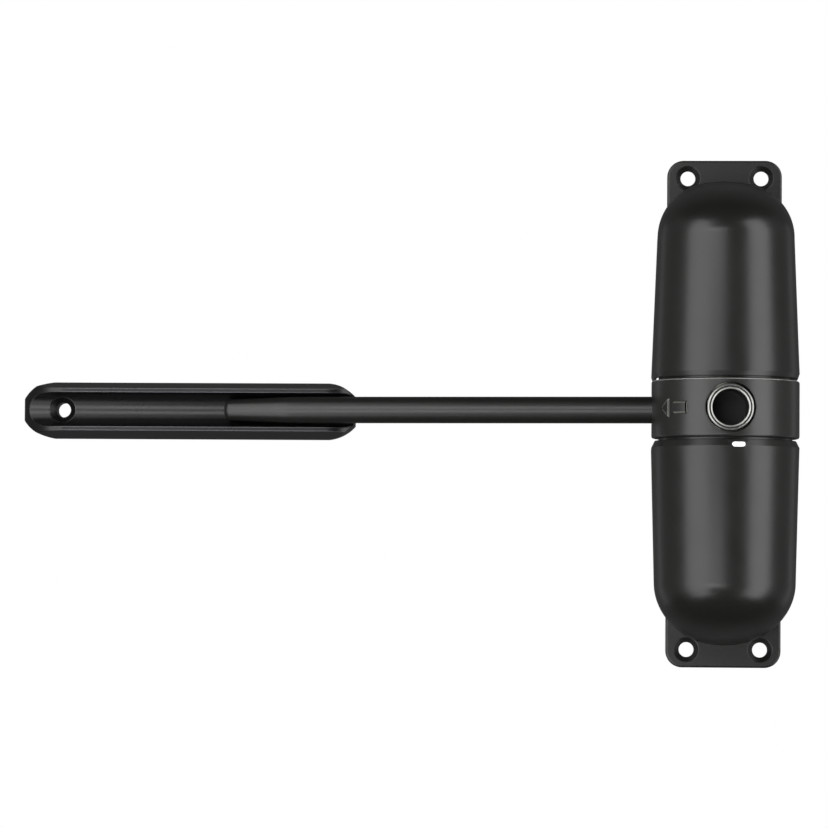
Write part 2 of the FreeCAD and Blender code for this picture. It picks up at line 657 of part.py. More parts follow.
def rail_side():
    """Side view of the rail: the walls run down to the groove's floor at the nose and dip at the mouth."""
    left, right = rail_left, rail_right
    crest = -rail_height
    deep = rail_width

    def point(x, y):
        return FreeCAD.Vector(x, y, -deep)

    nose_y = -(rail_nose_floor + (rail_height - rail_nose_floor) * rail_nose_rise[1])
    mouth_y = -(rail_mouth_floor + (rail_height - rail_mouth_floor) * rail_mouth_dip[1])
    nose = Part.Arc(point(left, -rail_nose_floor), point(left + rail_nose * rail_nose_rise[0], nose_y),
                    point(left + rail_nose, crest)).toShape()
    mouth = Part.Arc(point(right - rail_mouth_slope, crest),
                     point(right - rail_mouth_slope * rail_mouth_dip[0], mouth_y),
                     point(right, -rail_mouth_floor)).toShape()
    edges = [Part.makeLine(point(left, 0), point(left, -rail_nose_floor)), nose,
             Part.makeLine(point(left + rail_nose, crest), point(right - rail_mouth_slope, crest)), mouth,
             Part.makeLine(point(right, -rail_mouth_floor), point(right, 0)),
             Part.makeLine(point(right, 0), point(left, 0))]
    return Part.Face(Part.Wire(edges)).extrude(FreeCAD.Vector(0, 0, 2 * deep))


def rail():
    """Grooved rail: the arm's tip slides between its two walls, and two screws hold it."""
    body = rail_section().common(rail_outline()).common(rail_side())
    start = rail_left - tool_margin
    length = rail_length + 2 * tool_margin
    centre = FreeCAD.Vector(start, -(rail_floor + rail_groove_radius), 0)
    groove = Part.makeCylinder(rail_groove_radius, length, centre, FreeCAD.Vector(1, 0, 0))
    above = box((start, start + length), (centre.y, -rail_height - tool_margin),
                (-rail_groove_radius, rail_groove_radius))
    screws = [rail_left + rail_first_screw, rail_right - rail_second_screw]
    seats = [countersink(x, 0, -rail_floor, screw_hole_radius, rail_screw_head) for x in screws]
    pocket_half = rail_width / 2 - rail_shell
    post = rail_screw_head + rail_shell / 2
    pocket = box((screws[0] + post, screws[1] - post), (tool_margin, -(rail_floor - rail_shell)),
                 (-pocket_half, pocket_half))
    return body.cut([groove, above, pocket] + seats)


# ---- all pieces -----------------------------------------------------------------------------------
def pieces():
    """Every piece of the closer by name."""
    rivets = [rivet(x, z) for x, z in rivet_places()]
    upper_spring = spring()
    return {
        "back_plate": back_plate(),
        "upper_shell": shell(upper_dome_half_width, upper_bevel_depth, upper_bevel_height),
        "lower_shell": lower_shell(),
        "shell_screws": Part.makeCompound([shell_screw_shape(x, z) for x, z in boss_places()]),
        "upper_bracket": bracket(),
        "lower_bracket": mirrored(bracket()),
        "bracket_rivets": Part.makeCompound(rivets + [mirrored(r) for r in rivets]),
        "axle": axle(),
        "axle_clip": axle_clip(),
        "upper_spacer": spacer(drum_half),
        "lower_spacer": mirrored(spacer(index_bottom)),
        "upper_washer": washer(drum_half + loose_gap),
        "lower_washer": mirrored(washer(index_bottom + loose_gap)),
        "upper_spring": upper_spring,
        "lower_spring": mirrored(upper_spring),
        "drum_ring": drum_ring(),
        "hub": hub(),
        "upper_bush": bush(loose_gap, drum_half),
        "lower_bush": bush(-drum_half, -loose_gap),
        "tension_sockets": tension_sockets(),
        "index_disc": index_disc(),
        "arm": arm(),
        "stop_pin": pin_bar(pin_inner, pin_outer, 0.0),
        "rail": rail(),
    }


os.makedirs("parts", exist_ok=True)
for name, shape in pieces().items():
    shape.exportStep("parts/" + name + ".step")
    print(name, "solids", len(shape.Solids), "volume", round(shape.Volume, 2), "valid", shape.isValid())
print("arm tilt", round(arm_tilt, 3), "arm angle", round(arm_angle, 3), "drum axis y", axis_y)
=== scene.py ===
import math

import bpy
from mathutils import Matrix, Vector


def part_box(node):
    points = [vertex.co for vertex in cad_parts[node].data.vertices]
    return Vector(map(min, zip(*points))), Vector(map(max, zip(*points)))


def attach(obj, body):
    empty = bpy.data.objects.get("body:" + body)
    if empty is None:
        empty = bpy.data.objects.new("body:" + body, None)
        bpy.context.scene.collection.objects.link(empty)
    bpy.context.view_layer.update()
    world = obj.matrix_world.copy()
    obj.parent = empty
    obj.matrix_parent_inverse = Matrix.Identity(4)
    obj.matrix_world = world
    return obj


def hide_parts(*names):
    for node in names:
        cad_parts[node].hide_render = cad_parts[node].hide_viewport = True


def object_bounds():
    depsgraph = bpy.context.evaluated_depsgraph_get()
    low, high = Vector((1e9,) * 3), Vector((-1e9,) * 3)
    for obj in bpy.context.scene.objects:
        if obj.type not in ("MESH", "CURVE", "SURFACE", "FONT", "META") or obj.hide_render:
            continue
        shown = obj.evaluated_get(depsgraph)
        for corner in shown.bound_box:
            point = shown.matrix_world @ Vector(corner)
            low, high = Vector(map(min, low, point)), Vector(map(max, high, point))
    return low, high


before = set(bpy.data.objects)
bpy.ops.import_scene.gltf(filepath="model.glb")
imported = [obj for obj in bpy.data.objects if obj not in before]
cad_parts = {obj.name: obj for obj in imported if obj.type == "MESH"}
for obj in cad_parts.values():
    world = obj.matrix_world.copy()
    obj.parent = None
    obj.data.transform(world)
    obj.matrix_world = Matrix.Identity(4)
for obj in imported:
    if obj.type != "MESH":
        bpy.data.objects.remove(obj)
cad_low, cad_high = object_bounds()

bl_info = {
    "name": "Spring door closer",
    "version": (1, 0, 0),
    "blender": (4, 5, 0),
    "location": "View3D > Sidebar > Door closer",
    "description": "Finishes a surface-mounted spring door closer piece by piece",
    "category": "Object",
}

MM = 0.001
AXLE_Y = -24.8 * MM      # the drum's axle in front of the mounting plane
RIDGE_HIGHLIGHT_SPAN = (-205, -198, -114, -122)    # along X in mm: the ridges' painted highlight lines fade in, then out
SOCKET_ANGLE = 98.0      # from the arm to each tension socket
NEAR = 0.01 * MM         # heights and radii closer than this count as the same
ARROW_BLANK = 4 * MM     # thickness of the arrow's blank, before it is cut to the ring's curve
ARROW_SINK = 1.5 * MM    # the middle of the blank lies this far inside the arrow's face
THREAD_VALLEY = 0.84     # radius of a shell screw between two turns of thread, as a share of its shank's
POINT_TAPER = 0.7        # the same at its point
SLOT_SPAN = 1.15         # length of the cross recess, as a share of the head's radius
SLOT_DEPTH = 1.4         # height of the recess's cutter, as a share of the countersink's depth
SLOT_TAPER = 0.6         # size of the recess's floor, as a share of its mouth
EDGE_MASK_STARTS = 0.995      # cosine of the turn of a rounded edge at which the edge mask begins, and is full; it carries wear, and on the rail a painted highlight
EDGE_MASK_FULL = 0.8
SCREW_TURN = 17          # degrees from one screw's recess to the next, so that no two stand alike


# ---- sizes and colours ----------------------------------------------------------------------------
def linear(hex_value):
    """Linear RGBA of an sRGB colour written as #rrggbb."""
    levels = [int(hex_value[i:i + 2], 16) / 255 for i in (1, 3, 5)]
    curve = [v / 12.92 if v <= 0.04045 else ((v + 0.055) / 1.055) ** 2.4 for v in levels]
    return (*curve, 1.0)


def length(name, description, millimetres):
    """A size that a user may change, in metres."""
    return bpy.props.FloatProperty(name=name, description=description, default=millimetres * MM,
                                   unit="LENGTH", subtype="DISTANCE", precision=5)


def angle(name, description, degrees):
    """An angle that a user may change, in radians."""
    return bpy.props.FloatProperty(name=name, description=description, default=math.radians(degrees),
                                   unit="ROTATION", subtype="ANGLE")


def colour(name, description, hex_value):
    """A colour that a user may change."""
    return bpy.props.FloatVectorProperty(name=name, description=description, default=linear(hex_value),
                                         subtype="COLOR", size=4, min=0.0, max=1.0)


class CloserSizes(bpy.types.PropertyGroup):
    """Sizes of what is modelled here on top of the construction."""
    paint_grain: length("Paint grain", "Width of one dimple of the satin enamel's orange peel", 0.5)
    edge_round: length("Edge rounding", "Radius that the enamel gives to the shells' and plate's edges", 0.35)
    drum_round: length("Drum edge rounding", "Radius of the drum's and its arrow's edges", 0.45)
    rail_round: length("Rail edge rounding", "Radius of the rail's ridges and mouth", 0.5)
    arm_round: length("Arm edge rounding", "Radius of the arm's shoulder", 0.5)
    sleeve_radius: length("Sleeve radius", "Outer radius of a tension socket's sleeve", 6.8)
    sleeve_bore: length("Sleeve bore", "Radius of the socket that takes the tension bar", 5.4)
    sleeve_floor: length("Sleeve floor", "Distance of the socket's floor from the axle's centre line", 8.6)
    sleeve_face: length("Sleeve face", "Distance of a sleeve's outer face from the axle's centre line", 21.2)
    # the dark floor is part of the painted shade in the bore
    sleeve_skin: length("Sleeve skin", "Thickness of the dark skin on the socket's floor", 0.3)
    sleeve_lip: length("Sleeve lip", "Width of the bright chamfers on a sleeve's two edges", 0.42)
    drum_radius: length("Drum radius", "Outer radius of the turning ring", 22.0)
    drum_height: length("Drum height", "Height of the ring without its collars", 17.2)
    drum_wall: length("Drum wall", "Thickness of the ring", 4.0)
    drum_chamfer: length("Drum chamfer", "Rounded chamfer on the ring's two rims", 0.7)
    collar_step: length("Collar step", "The collars are this much smaller in radius than the ring", 2.1)
    collar_height: length("Collar height", "How far a collar stands out of the ring", 1.0)
    socket_hole: length("Socket hole", "Radius of the ring's hole around a sleeve", 7.4)
    arm_hole: length("Arm hole", "Radius of the ring's hole around the arm", 5.0)
    arrow_relief: length("Arrow relief", "How far the arrow stands out of the ring", 0.58)
    arrow_half_head: length("Arrow head", "Half the width of the arrow's head", 3.0)
    arrow_half_stem: length("Arrow stem", "Half the width of the arrow's stem", 1.75)
    arrow_slope: length("Arrow slope", "Width of the rounded slope around the arrow", 0.5)
    arrow_tip: angle("Arrow tip", "From the drum's front to the arrow's tip", 59.7)
    arrow_back: angle("Arrow back", "From the drum's front to the back of the arrow's head", 50.0)
    arrow_stem: angle("Arrow stem start", "From the drum's front to the stem's near end", 45.6)
    arrow_tail: angle("Arrow tail", "From the drum's front to the arrow's tail", 31.4)
    screw_radius: length("Shell screw radius", "Radius of a shell screw's shank", 1.5)
    screw_head: length("Shell screw head", "Radius of a shell screw's countersunk head", 2.8)
    screw_length: length("Shell screw length", "From the plate's back to the screw's end", 9.0)
    screw_slot: length("Shell screw slot", "Width of the cross recess", 0.7)
    screw_pitch: length("Shell screw pitch", "Distance from one turn of thread to the next", 1.0)


class CloserColours(bpy.types.PropertyGroup):
    """Colours of the closer's finishes."""
    paint: colour("Satin black enamel", "The painted shells, plate and arm", "#131312")
    drum_paint: colour("Drum enamel", "The turning drum's enamel, a shade greyer", "#171716")
    # painted highlight: the arrow's slopes are coloured lighter than the drum so the relief reads lit
    arrow_highlight: colour("Arrow enamel", "The slopes of the raised arrow", "#4a4a47")
    rail_paint: colour("Rail enamel", "The rail's glossier black enamel", "#070708")
    zinc: colour("Zinc plating", "Screws, rivets, spacers and the stop pin", "#c9c9c4")
    # partly painted highlight: the pin is near-white so it shows as a bright glint
    pin: colour("White plating", "The stop pin, which shows as a bright slot in the lower shell", "#fbfbf8")
    steel: colour("Bare steel", "Brackets, axle, hub and index disc", "#9a9893")
    oiled: colour("Oiled spring steel", "The two springs and the clip", "#56534f")
    brass: colour("Brass", "The two bushes", "#b89452")
    nylon: colour("Nylon", "The two thrust washers", "#dcd8cc")
    # the sleeves' dark colour, also used as painted shade down the socket's bore
    blackened: colour("Blackened steel", "The tension sockets' sleeves", "#161615")
    # painted highlight: near-white metal on the sleeves' chamfers and the drum's upper rim stands in for the light
    # these edges catch
    worn_and_highlit: colour("Worn edge", "Bright metal where the tension bar has rubbed the sleeves' edges", "#e2e2de")


# ---- materials ------------------------------------------------------------------------------------
def node(tree, kind, settings=None, links=None):
    """Adds a shader node, sets its properties and inputs, and links outputs of other nodes to it."""
    made = tree.nodes.new(kind)
    for key, value in (settings or {}).items():
        if isinstance(key, int) or key in made.inputs:
            made.inputs[key].default_value = value
        else:
            setattr(made, key, value)
    for key, output in (links or {}).items():
        tree.links.new(output, made.inputs[key])
    return made


def blank(name):
    """An empty node material with its output."""
    material = bpy.data.materials.new(name)
    material.use_nodes = True
    material.node_tree.nodes.clear()
    return material, material.node_tree


def spread(tree, factor, low, high):
    """Stretches a 0 to 1 value between two levels."""
    return node(tree, "ShaderNodeMapRange", {"To Min": low, "To Max": high},
                {"Value": factor}).outputs["Result"]


def edge_mask(tree, radius):
    """1 along outer edges and 0 on flat ground, from how far a rounded edge turns the surface."""
    rounded = node(tree, "ShaderNodeBevel", {"Radius": radius, "samples": 6}).outputs["Normal"]
    flat = node(tree, "ShaderNodeNewGeometry").outputs["Normal"]
    turn = node(tree, "ShaderNodeVectorMath", {"operation": "DOT_PRODUCT"},
                {0: rounded, 1: flat}).outputs["Value"]
    return rounded, node(tree, "ShaderNodeMapRange", {"From Min": EDGE_MASK_STARTS, "From Max": EDGE_MASK_FULL},
                         {"Value": turn}).outputs["Result"]


def paint(name, base, roughness, grain, edge, specular=0.5, wear_and_highlight=0.8, highlight_span=None):
    """Stoved enamel on steel: orange peel in the gloss, soft edges, and edges lightened along them: a little wear at
    small factors, a painted highlight line at large ones.
    """
    material, tree = blank(name)
    place = node(tree, "ShaderNodeTexCoord").outputs["Object"]
    mottle = node(tree, "ShaderNodeTexNoise", {"Scale": 1 / (grain * 14), "Detail": 4.0}, {"Vector": place})
    peel = node(tree, "ShaderNodeTexNoise", {"Scale": 1 / grain, "Detail": 2.0}, {"Vector": place})
    dust = node(tree, "ShaderNodeTexNoise", {"Scale": 6 / grain, "Detail": 1.0}, {"Vector": place})
    rounded, worn_and_highlit = edge_mask(tree, edge)
    # the edges' painted highlight is kept to the given stretches along X
    if highlight_span:
        along = node(tree, "ShaderNodeSeparateXYZ", links={"Vector": place}).outputs["X"]
        for start, end in (highlight_span[:2], highlight_span[2:]):
            inside = node(tree, "ShaderNodeMapRange", {"From Min": start * MM, "From Max": end * MM},
                          {"Value": along})
            worn_and_highlit = node(tree, "ShaderNodeMath", {"operation": "MULTIPLY"},
                        {0: worn_and_highlit, 1: inside.outputs["Result"]}).outputs[0]
    level = spread(tree, mottle.outputs["Fac"], roughness - 0.05, roughness + 0.06)
    rough = node(tree, "ShaderNodeMath", {"operation": "MULTIPLY_ADD", 1: -0.12}, {0: worn_and_highlit, 2: level})
    bump = node(tree, "ShaderNodeBump", {"Strength": 0.1, "Distance": grain * 0.06},
                {"Height": peel.outputs["Fac"], "Normal": rounded})
    tone = spread(tree, dust.outputs["Fac"], 0.9, 1.12)
    # lighter edges: real wear at small factors, painted highlight at large ones
    edge_tone = node(tree, "ShaderNodeMath", {"operation": "MULTIPLY_ADD", 1: wear_and_highlight}, {0: worn_and_highlit, 2: tone})
    tint = node(tree, "ShaderNodeVectorMath", {"operation": "SCALE", 0: base[:3]},
                {"Scale": edge_tone.outputs[0]})
    shader = node(tree, "ShaderNodeBsdfPrincipled", {"Specular IOR Level": specular},
                  {"Base Color": tint.outputs[0], "Roughness": rough.outputs[0],
                   "Normal": bump.outputs["Normal"]})
    node(tree, "ShaderNodeOutputMaterial", links={"Surface": shader.outputs["BSDF"]})
    return material


def metal(name, base, roughness, grain, stretch=(1, 1, 1), metallic=1.0, depth=0.02):
    """Bare, plated or oiled metal: stretch draws the grain out into the marks of turning or rolling."""
    material, tree = blank(name)
    place = node(tree, "ShaderNodeTexCoord").outputs["Object"]
    drawn = node(tree, "ShaderNodeMapping", {"Scale": stretch}, {"Vector": place})
    marks = node(tree, "ShaderNodeTexNoise", {"Scale": 1 / grain, "Detail": 4.0},
                 {"Vector": drawn.outputs[0]})
    stain = node(tree, "ShaderNodeTexNoise", {"Scale": 1 / (grain * 18), "Detail": 3.0}, {"Vector": place})
    rounded, worn_and_highlit = edge_mask(tree, 0.2 * MM)
    level = spread(tree, marks.outputs["Fac"], roughness - 0.08, roughness + 0.1)
    rough = node(tree, "ShaderNodeMath", {"operation": "MULTIPLY_ADD", 1: -0.1}, {0: worn_and_highlit, 2: level})
    bump = node(tree, "ShaderNodeBump", {"Strength": 0.25, "Distance": depth * MM},
                {"Height": marks.outputs["Fac"], "Normal": rounded})
    tone = spread(tree, stain.outputs["Fac"], 0.82, 1.1)
    tint = node(tree, "ShaderNodeVectorMath", {"operation": "SCALE", 0: base[:3]}, {"Scale": tone})
    shader = node(tree, "ShaderNodeBsdfPrincipled", {"Metallic": metallic},
                  {"Base Color": tint.outputs[0], "Roughness": rough.outputs[0],
                   "Normal": bump.outputs["Normal"]})
    node(tree, "ShaderNodeOutputMaterial", links={"Surface": shader.outputs["BSDF"]})
    return material


def finish(piece, *materials):
    """Gives a piece its materials."""
    piece.data.materials.clear()
    for material in materials:
        piece.data.materials.append(material)


def finishes(scene):
    """Every finish of the closer by name, with the construction nodes that wear it."""
    c, s = scene.closer_colours, scene.closer_sizes
    return {
        # satin enamel: two soft reflections of the studio lamps down each shell, black between
        "black_shell_enamel": (paint("black_shell_enamel", c.paint, 0.31, s.paint_grain, s.edge_round, 0.42),
                               ("upper_shell", "lower_shell")),
        # the same enamel on the flat plate, duller, so that the plate stays apart from the domes
        "black_plate_enamel": (paint("black_plate_enamel", c.paint, 0.36, s.paint_grain, s.edge_round, 0.4),
                               ("back_plate",)),
        # a shade greyer on the turned drum, whose upper edge catches a thin line of light
        "black_drum_enamel": (paint("black_drum_enamel", c.drum_paint, 0.31, s.paint_grain, s.drum_round,
                                    0.45),
                              ("drum_ring",)),
        # glossier on the cast rail; its ridges get thin bright lines of painted highlight from strongly lightened
        # edges, fading in and out along the rail
        "black_rail_enamel": (paint("black_rail_enamel", c.rail_paint, 0.29, s.paint_grain * 1.6,
                                    s.rail_round, 0.36, 70.0,
                                     RIDGE_HIGHLIGHT_SPAN),
                              ("rail",)),
        # drawn bar under enamel: one long soft reflection along the arm
        "black_arm_enamel": (paint("black_arm_enamel", c.paint, 0.33, s.paint_grain, s.arm_round, 0.42),
                             ("arm",)),
        # bright, faintly blotched plating
        "zinc_plated_steel": (metal("zinc_plated_steel", c.zinc, 0.32, 0.5 * MM),
                              ("shell_screws", "bracket_rivets", "upper_spacer", "lower_spacer")),
        # the stop pin: bright plating painted near-white and matt as a highlight, so it stays bright like a glint
        # from every side
        "white_plated_steel": (metal("white_plated_steel", c.pin, 0.6, 0.5 * MM, metallic=0.35),
                               ("stop_pin",)),
        # rolled strip of the brackets, with marks along it
        "rolled_steel": (metal("rolled_steel", c.steel, 0.42, 0.3 * MM, (8, 1, 1)),
                         ("upper_bracket", "lower_bracket")),
        # turned steel, with fine marks around the axle
        "turned_steel": (metal("turned_steel", c.steel, 0.34, 0.4 * MM, (1, 1, 9)),
                         ("axle", "hub", "index_disc")),
        # dark wire with an oil film
        "oiled_spring_steel": (metal("oiled_spring_steel", c.oiled, 0.36, 0.4 * MM),
                               ("upper_spring", "lower_spring", "axle_clip")),
        # warm yellow turned bushes
        "turned_brass": (metal("turned_brass", c.brass, 0.3, 0.4 * MM, (1, 1, 9)),
                         ("upper_bush", "lower_bush")),
        # pale moulded washers with no metal in them
        "moulded_nylon": (metal("moulded_nylon", c.nylon, 0.5, 0.6 * MM, metallic=0.0),
                          ("upper_washer", "lower_washer")),
    }


class CLOSER_OT_finish_nodes(bpy.types.Operator):
    """Give the listed construction pieces their finishes"""
    bl_idname = "closer.finish_nodes"
    bl_label = "Finish construction pieces"

    def execute(self, context):
        for material, names in finishes(context.scene).values():
            for name in names:
                finish(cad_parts[name], material)
        return {"FINISHED"}


# ---- modelling ------------------------------------------------------------------------------------
def pick(mesh, kind, wanted):
    """Selects only the vertices, edges or polygons for which wanted is true."""
    for group in (mesh.vertices, mesh.edges, mesh.polygons):
        group.foreach_set("select", [False] * len(group))
    for one in getattr(mesh, kind):
        one.select = wanted(one)


def alone(piece):
    """Makes this piece the only one selected, and the active one."""
    bpy.ops.object.select_all(action="DESELECT")
    bpy.context.view_layer.objects.active = piece
    piece.select_set(True)


def start(name, add, **settings):
    """A new primitive under its own name, with nothing else selected."""
    bpy.ops.object.select_all(action="DESELECT")
    add(**settings)
    piece = bpy.context.object
    piece.name = piece.data.name = name
    return piece


def edit(piece, kind, wanted, *steps):
    """Runs edit-mode steps on the chosen elements of a piece."""
    alone(piece)
    bpy.ops.object.mode_set(mode="EDIT")
    bpy.ops.mesh.select_mode(type={"vertices": "VERT", "edges": "EDGE", "polygons": "FACE"}[kind])
    bpy.ops.object.mode_set(mode="OBJECT")
    pick(piece.data, kind, wanted)
    bpy.ops.object.mode_set(mode="EDIT")
    for step in steps:
        step()
    bpy.ops.object.mode_set(mode="OBJECT")


def modify(piece, kind, settings):
    """Adds a modifier to a piece and applies it."""
    alone(piece)
    modifier = piece.modifiers.new(kind.lower(), kind)
    for key, value in settings.items():
        setattr(modifier, key, value)
    bpy.ops.object.modifier_apply(modifier=modifier.name)


def cut(piece, tool):
    """Takes the tool's shape out of a piece and deletes the tool."""
    modify(piece, "BOOLEAN", {"operation": "DIFFERENCE", "solver": "EXACT", "object": tool})
    bpy.data.objects.remove(tool)


def settle(piece, limit=35.0):
    """Moves a piece's place into its mesh and shades it smooth up to an angle."""
    alone(piece)
    bpy.ops.object.transform_apply(location=True, rotation=True, scale=True)
    bpy.ops.object.shade_smooth_by_angle(angle=math.radians(limit))
    return piece


def level(heading):
    """The level direction at this angle in degrees from +X."""
    turn = math.radians(heading)
    return Vector((math.cos(turn), math.sin(turn), 0))


def arm_heading():
    """The arm's direction in degrees from +X."""
    low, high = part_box("arm")
    return math.degrees(math.atan2((low.y + high.y) / 2 - AXLE_Y, (low.x + high.x) / 2))


class CLOSER_OT_sockets(bpy.types.Operator):
    """Model the two dark sleeves of the tension sockets, with a dark bore as painted shade and chamfers painted
    bright as highlights
    """
    bl_idname = "closer.sockets"
    bl_label = "Tension sockets"

    def execute(self, context):
        s, c = context.scene.closer_sizes, context.scene.closer_colours
        # the dark steel also stands as painted shade in the bore; the near-white metal is painted highlight on the
        # chamfers
        black = metal("blackened_steel", c.blackened, 0.42, 0.3 * MM, metallic=0.3)
        bright = metal("rubbed_steel_edge", c.worn_and_highlit, 0.5, 0.2 * MM)
        depth = s.sleeve_face - s.sleeve_floor
        sleeve = settle(start("socket_sleeve_front", bpy.ops.mesh.primitive_cylinder_add, vertices=96,
                              radius=s.sleeve_radius, depth=depth,
                              location=(0, 0, s.sleeve_floor + depth / 2)))
        top = s.sleeve_face - NEAR
        wall = s.sleeve_radius - s.sleeve_bore
        finish(sleeve, black, bright)
        edit(sleeve, "polygons", lambda p: p.center.z > top,
             lambda: bpy.ops.mesh.inset(thickness=s.sleeve_lip),
             lambda: bpy.ops.mesh.inset(thickness=wall - 2 * s.sleeve_lip),
             lambda: bpy.ops.mesh.inset(thickness=s.sleeve_lip))
        edit(sleeve, "polygons", lambda p: p.center.z > top and p.center.xy.length < MM,
             lambda: bpy.ops.transform.translate(value=(0, 0, -s.sleeve_lip)),
             lambda: bpy.ops.mesh.extrude_region_move(
                 TRANSFORM_OT_translate={"value": (0, 0, s.sleeve_lip + s.sleeve_skin - depth)}))
        edit(sleeve, "vertices", lambda v: v.co.z > top and v.co.xy.length > s.sleeve_radius - NEAR,
             lambda: bpy.ops.transform.translate(value=(0, 0, -s.sleeve_lip)))
        # painted highlight: the sloped chamfers take the near-white metal
        for face in sleeve.data.polygons:
            chamfer = 0.2 < face.normal.z < 0.95
            face.material_index = 1 if chamfer else 0
        twin = sleeve.copy()
        twin.data = sleeve.data.copy()
        twin.name = twin.data.name = "socket_sleeve_back"
        context.scene.collection.objects.link(twin)
        for piece, side in ((sleeve, 1), (twin, -1)):
            outward = level(arm_heading() + side * SOCKET_ANGLE)
            piece.rotation_euler = outward.to_track_quat("Z", "Y").to_euler()
            piece.location = (0, AXLE_Y, 0)
            settle(piece, 30)
            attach(piece, "arm")
        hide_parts("tension_sockets")
        return {"FINISHED"}


class CLOSER_OT_drum(bpy.types.Operator):
    """Model the drum's ring: chamfered rims, collars, holes and the raised arrow"""
    bl_idname = "closer.drum"
    bl_label = "Drum ring"

    def execute(self, context):
        s = context.scene.closer_sizes
        radius, half, bore = s.drum_radius, s.drum_height / 2, s.drum_radius - s.drum_wall
        drum = start("drum_outer_ring", bpy.ops.mesh.primitive_cylinder_add, vertices=192, radius=radius,
                     depth=2 * half)
        rim = s.drum_chamfer

        def at_an_end(edge):
            heights = [drum.data.vertices[index].co.z for index in edge.vertices]
            return abs(abs(sum(heights)) - 2 * half) < NEAR

        edit(drum, "edges", at_an_end,
             lambda: bpy.ops.mesh.bevel(offset=rim, segments=3, profile=0.5, affect="EDGES"))
        for side in (-1, 1):
            edit(drum, "polygons", lambda p: p.center.z * side > half - NEAR,
                 lambda: bpy.ops.mesh.inset(thickness=s.collar_step - rim),
                 lambda: bpy.ops.mesh.extrude_region_move(
                     TRANSFORM_OT_translate={"value": (0, 0, side * s.collar_height)}))
        cut(drum, self.rod("bore", bore, -2 * radius, 2 * radius, None, 128))
        # the holes' cutters begin clear of the axle and end outside the ring
        inside, outside = radius / 4, radius * 1.2
        for offset, hole in ((SOCKET_ANGLE, s.socket_hole), (-SOCKET_ANGLE, s.socket_hole), (0, s.arm_hole)):
            cut(drum, self.rod("hole", hole, inside, outside, arm_heading() + offset, 64))
        enamel, rim_highlight = bpy.data.materials["black_drum_enamel"], bpy.data.materials["rubbed_steel_edge"]
        # painted highlight: the arrow's slopes are painted a lighter grey so the relief reads lit
        slope_highlight = paint("polished_arrow_enamel", context.scene.closer_colours.arrow_highlight, 0.3,
                         s.paint_grain,
                         s.drum_round)
        finish(drum, enamel, rim_highlight, slope_highlight)
        self.arrow(drum, s)
        drum.location = (0, AXLE_Y, 0)
        settle(drum, 30)
        modify(drum, "WEIGHTED_NORMAL", {"mode": "FACE_AREA", "weight": 80, "keep_sharp": True})
        # painted highlight: a thin bright line of the near-white metal on the upper rim's chamfer, where light would
        # catch the edge
        for face in drum.data.polygons:
            reach = (face.center - Vector((0, AXLE_Y, face.center.z))).length
            on_rim = reach > radius - rim and half - rim < face.center.z < half
            if on_rim and 0.35 < face.normal.z < 0.9:
                face.material_index = 1
        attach(drum, "arm")
        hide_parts("drum_ring")
        return {"FINISHED"}

    def rod(self, name, radius, near, far, heading, corners):
        """A round cutter along the axle, or level and away from it when it has a heading."""
        tool = settle(start(name, bpy.ops.mesh.primitive_cylinder_add, vertices=corners, radius=radius,
                            depth=far - near, location=(0, 0, (near + far) / 2)))
        if heading is not None:
            tool.rotation_euler = level(heading).to_track_quat("Z", "Y").to_euler()
            settle(tool)
        return tool

    def arrow(self, drum, s):
        """A raised arrow whose head points to the arm, with rounded slopes, joined to the ring."""
        middle = (s.arrow_tip + s.arrow_tail) / 2
        tip, back, stem, tail = (s.drum_radius * math.sin(place - middle)
                                 for place in (s.arrow_tip, s.arrow_back, s.arrow_stem, s.arrow_tail))
        top = s.drum_radius + s.arrow_relief
        parts = []
        for name, corners, left, right, half in (("head", 3, tip, back, s.arrow_half_head),
                                                 ("stem", 4, stem, tail, s.arrow_half_stem)):
            part = settle(start(name, bpy.ops.mesh.primitive_cylinder_add, vertices=corners, radius=1.0,
                                depth=ARROW_BLANK, rotation=(0, 0, math.radians(45 if corners == 4 else 0))))
            low = Vector([min(v.co[i] for v in part.data.vertices) for i in range(3)])
            high = Vector([max(v.co[i] for v in part.data.vertices) for i in range(3)])
            wide, tall = (left - right) / (high.y - low.y), 2 * half / (high.x - low.x)
            part.scale = (tall, wide, 1)
            settle(part)
            part.location = (0, right - low.y * wide, 0)
            settle(part)
            finish(part, *drum.data.materials)
            parts.append(part)
        for part in parts:
            # stands the flat arrow on the ring: its length lies along the ring, its top faces out
            out = Vector((-math.sin(middle), -math.cos(middle), 0))
            along = Vector((-math.cos(middle), math.sin(middle), 0))
            turn = Matrix(((0.0, along.x, out.x), (0.0, along.y, out.y), (1.0, 0.0, 0.0)))
            part.matrix_world = Matrix.Translation(out * (top - ARROW_SINK)) @ turn.to_4x4()
            settle(part)
            skin = self.rod("skin", top, -ARROW_BLANK, ARROW_BLANK, None, 192)
            modify(part, "BOOLEAN", {"operation": "INTERSECT", "solver": "EXACT", "object": skin})
            bpy.data.objects.remove(skin)
            # the slopes take the third material, the arrow's painted highlight
            modify(part, "BEVEL",
                   {"width": s.arrow_slope, "segments": 2, "limit_method": "ANGLE", "profile": 0.4,
                    "angle_limit": math.radians(40), "use_clamp_overlap": False, "material": 2})
        bpy.ops.object.select_all(action="DESELECT")
        for part in (*parts, drum):
            part.select_set(True)
        bpy.context.view_layer.objects.active = drum
        bpy.ops.object.join()


